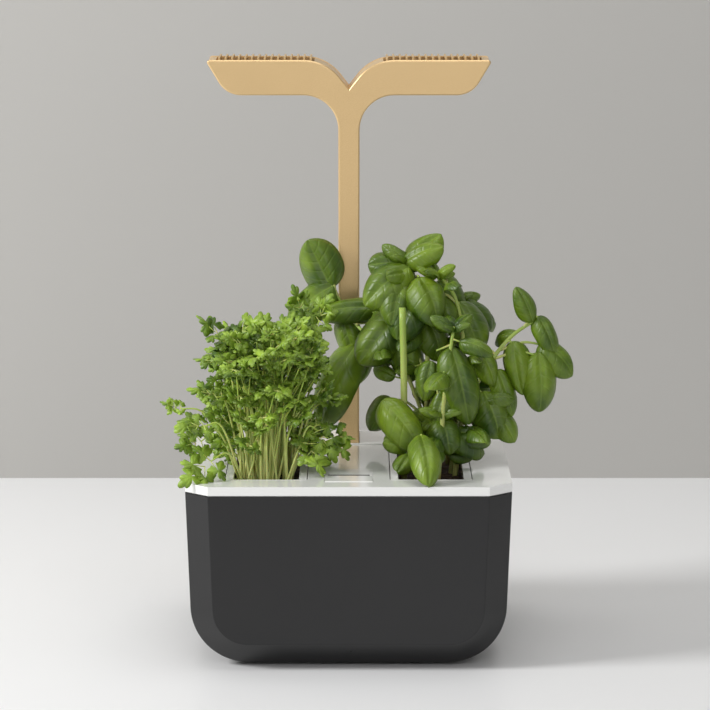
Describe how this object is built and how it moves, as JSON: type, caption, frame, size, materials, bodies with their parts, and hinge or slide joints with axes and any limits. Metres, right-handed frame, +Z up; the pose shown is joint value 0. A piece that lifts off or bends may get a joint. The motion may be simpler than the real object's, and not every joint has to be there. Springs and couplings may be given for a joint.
{
  "type": "countertop hydroponic garden",
  "caption": "Bevelled water tank with a lift-off growing tray, two herb pods, a lifting fill flap and a plug-in sprout-shaped grow lamp.",
  "frame": {"origin": "on the table, under the middle of the tank", "axes": "+X to the right seen from the front, +Y from the front to the back, +Z up"},
  "size_m": [0.2251, 0.18, 0.3283],
  "materials": {
    "tank_black": "satin gloss moulded plastic",
    "tray_white": "glossy white moulded plastic",
    "button_grey": "matt moulded plastic",
    "steel": "bright steel",
    "circuit_green": "circuit board",
    "board_white": "white light board",
    "led_yellow": "light chips",
    "inner_black": "matt plastic",
    "contact_brass": "plated contacts",
    "lamp_gold": "satin champagne gold",
    "fin_gold": "satin champagne gold",
    "diffuser_clear": "frosted lens",
    "cable_white": "flat cable",
    "foot_rubber": "soft rubber",
    "soil_brown": "damp peat growing medium",
    "wick_felt": "white felt",
    "basil_green": "fresh leaves",
    "parsley_green": "fresh leaves"
  },
  "bodies": {
    "tank": {"tank_shell": "tank_black", "foot_front_left": "foot_rubber", "foot_front_right": "foot_rubber", "foot_back_left": "foot_rubber", "foot_back_right": "foot_rubber"},
    "tray": {"growing_tray": "tray_white", "fill_flap_pin": "steel", "lamp_socket": "tray_white", "socket_lid": "tray_white", "lid_screws": "steel", "control_board": "circuit_green", "socket_connector": "inner_black", "power_inlet": "inner_black", "button_switch": "inner_black"},
    "flap": {"fill_flap": "tray_white"},
    "button": {"power_button": "button_grey"},
    "lamp": {"lamp_front_cover": "lamp_gold", "lamp_rear_cover": "lamp_gold", "lamp_channel": "lamp_gold", "lamp_screws": "steel", "lamp_plug": "inner_black", "lamp_contacts": "contact_brass", "heat_sink_left": "fin_gold", "heat_sink_right": "fin_gold", "led_board_left": "board_white", "led_board_right": "board_white", "led_chips_left": "led_yellow", "led_chips_right": "led_yellow", "diffuser_left": "diffuser_clear", "diffuser_right": "diffuser_clear", "lamp_ribbon_left": "cable_white", "lamp_ribbon_right": "cable_white"},
    "pod_left": {"pod_cup_left": "tray_white", "pod_frame_left": "tray_white", "growing_block_left": "soil_brown", "wick_left": "wick_felt", "parsley_plant": "parsley_green"},
    "pod_right": {"pod_cup_right": "tray_white", "pod_frame_right": "tray_white", "growing_block_right": "soil_brown", "wick_right": "wick_felt", "basil_plant": "basil_green"}
  },
  "joints": [
    {"name": "tray_lift", "type": "slide", "parent": "tank", "child": "tray", "axis": [0, 0, 1], "range_m": [0, 0.09]},
    {"name": "fill_flap_hinge", "type": "hinge", "parent": "tray", "child": "flap", "pos_m": [0, -0.0728, 0.1013], "axis": [1, 0, 0], "range_deg": [0, 95]},
    {"name": "power_button_press", "type": "slide", "parent": "tray", "child": "button", "axis": [0, -1, 0], "range_m": [0, 0.0012], "stiffness_N_per_m": 350},
    {"name": "lamp_lift", "type": "slide", "parent": "tray", "child": "lamp", "axis": [0, 0, 1], "range_m": [0, 0.05]},
    {"name": "pod_left_lift", "type": "slide", "parent": "tray", "child": "pod_left", "axis": [0, 0, 1], "range_m": [0, 0.06]},
    {"name": "pod_right_lift", "type": "slide", "parent": "tray", "child": "pod_right", "axis": [0, 0, 1], "range_m": [0, 0.06]}
  ]
}
